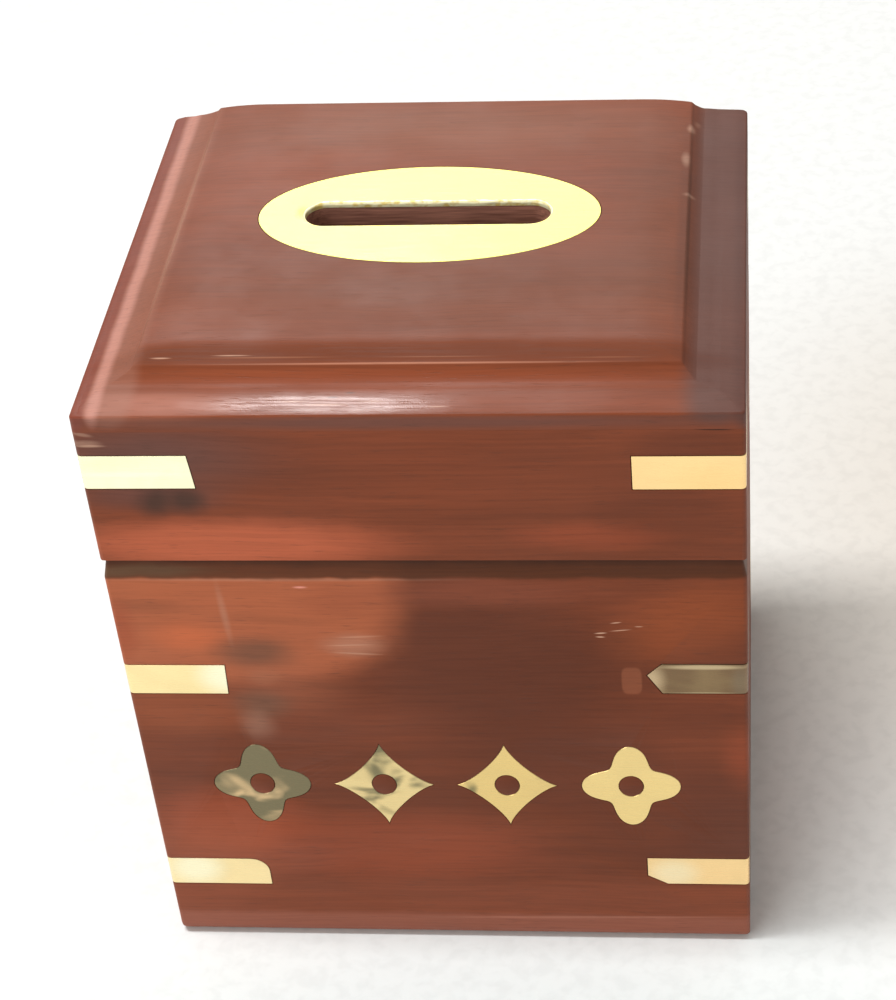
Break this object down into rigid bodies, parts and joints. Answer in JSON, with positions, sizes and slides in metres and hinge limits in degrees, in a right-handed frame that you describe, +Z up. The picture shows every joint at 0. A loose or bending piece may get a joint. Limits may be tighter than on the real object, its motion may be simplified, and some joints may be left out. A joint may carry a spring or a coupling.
{
  "type": "coin bank",
  "caption": "Small rosewood coin bank with a hinged moulded lid, an oval brass slot plate on top, brass corner straps and flush brass ornaments on the front.",
  "frame": {"origin": "middle of the box's footprint, on the surface it stands on", "axes": "+Z up, +X to the right seen from the front, front face towards -Y, hinges towards +Y"},
  "size_m": [0.102, 0.089, 0.1189],
  "materials": {
    "rosewood_body": "worn shellac over red-brown rosewood",
    "rosewood_lid": "worn shellac over red-brown rosewood",
    "base_wood": "bare pale wood",
    "plate_brass": "polished, light scratches",
    "strap_brass": "polished, rubbed flush with the wood",
    "inlay_brass": "satin, rubbed flush with the wood",
    "hinge_brass": "dull"
  },
  "bodies": {
    "body": {"front_board": "rosewood_body", "back_board": "rosewood_body", "left_board": "rosewood_body", "right_board": "rosewood_body", "base_panel": "base_wood", "upper_strap_front_left": "strap_brass", "upper_strap_front_right": "strap_brass", "upper_strap_back_left": "strap_brass", "upper_strap_back_right": "strap_brass", "lower_strap_front_left": "strap_brass", "lower_strap_front_right": "strap_brass", "lower_strap_back_left": "strap_brass", "lower_strap_back_right": "strap_brass", "front_inlay_1": "inlay_brass", "front_inlay_2": "inlay_brass", "front_inlay_3": "inlay_brass", "front_inlay_4": "inlay_brass", "hinge_left_body_leaf": "hinge_brass", "hinge_left_pin": "hinge_brass", "hinge_left_body_screw_1": "hinge_brass", "hinge_left_body_screw_2": "hinge_brass", "hinge_right_body_leaf": "hinge_brass", "hinge_right_pin": "hinge_brass", "hinge_right_body_screw_1": "hinge_brass", "hinge_right_body_screw_2": "hinge_brass"},
    "lid": {"lid_top_board": "rosewood_lid", "lid_front_rail": "rosewood_lid", "lid_back_rail": "rosewood_lid", "lid_left_rail": "rosewood_lid", "lid_right_rail": "rosewood_lid", "slot_plate": "plate_brass", "lid_strap_front_left": "strap_brass", "lid_strap_front_right": "strap_brass", "lid_strap_back_left": "strap_brass", "lid_strap_back_right": "strap_brass", "hinge_left_lid_leaf": "hinge_brass", "hinge_left_lid_screw_1": "hinge_brass", "hinge_left_lid_screw_2": "hinge_brass", "hinge_right_lid_leaf": "hinge_brass", "hinge_right_lid_screw_1": "hinge_brass", "hinge_right_lid_screw_2": "hinge_brass"}
  },
  "joints": [
    {"name": "lid_hinge", "type": "hinge", "parent": "body", "child": "lid", "pos_m": [0, 0.0423, 0.08745], "axis": [-1, 0, 0], "range_deg": [0, 100]}
  ]
}
